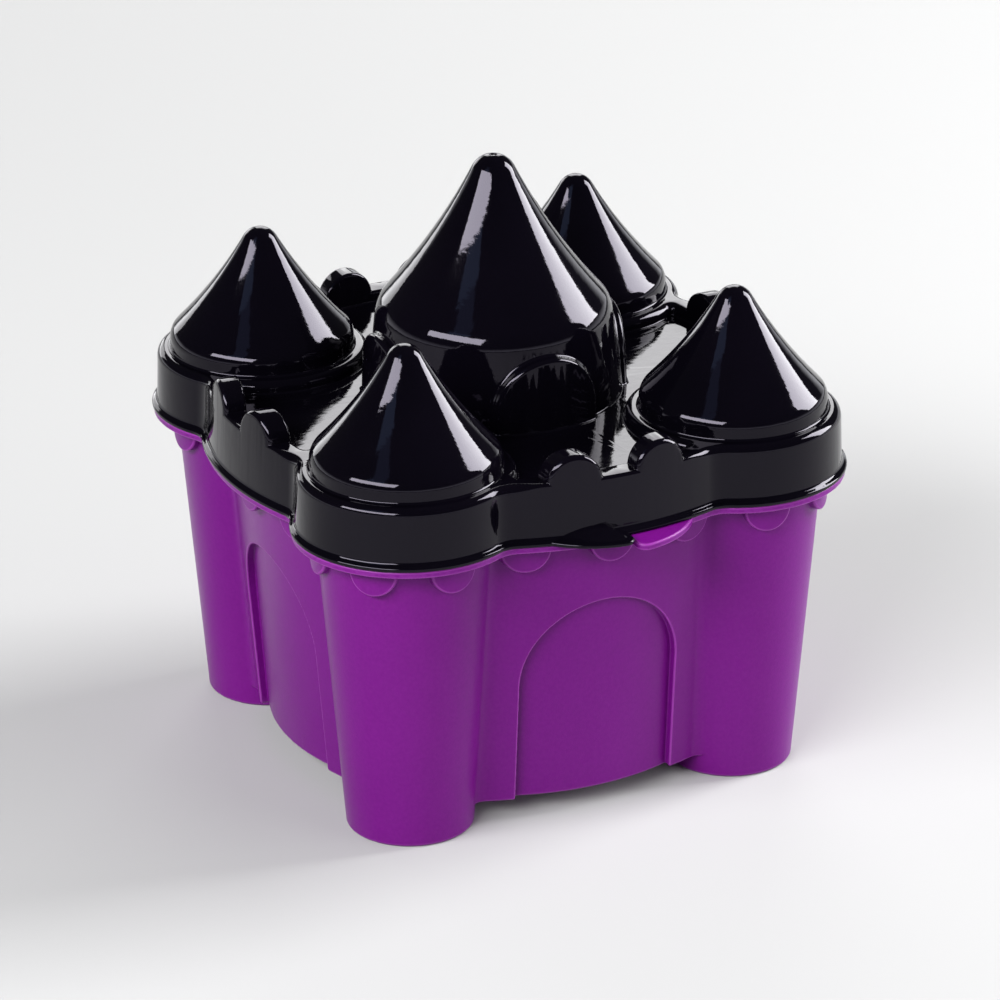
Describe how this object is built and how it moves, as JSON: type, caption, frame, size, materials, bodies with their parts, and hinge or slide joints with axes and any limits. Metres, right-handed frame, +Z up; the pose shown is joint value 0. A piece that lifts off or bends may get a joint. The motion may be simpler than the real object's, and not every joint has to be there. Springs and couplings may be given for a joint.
{
  "type": "sand bucket",
  "caption": "Square castle-shaped sand bucket with corner towers and arched door panels, closed by a castle roof lid with pointed tower roofs, that lifts straight off.",
  "frame": {"origin": "middle of the base, on the plane of the four tower feet", "axes": "+Z up, through the tip of the keep's roof; -Y towards the side with the opening tab; +X to the right seen from that side"},
  "size_m": [0.1918, 0.2002, 0.2003],
  "materials": {
    "bucket": "satin purple, moulded",
    "lid": "glossy black, moulded"
  },
  "bodies": {
    "bucket": {"bucket": "bucket"},
    "lid": {"lid": "lid"}
  },
  "joints": [
    {"name": "lid_lift", "type": "slide", "parent": "bucket", "child": "lid", "axis": [0, 0, 1], "range_m": [0, 0.12]}
  ]
}
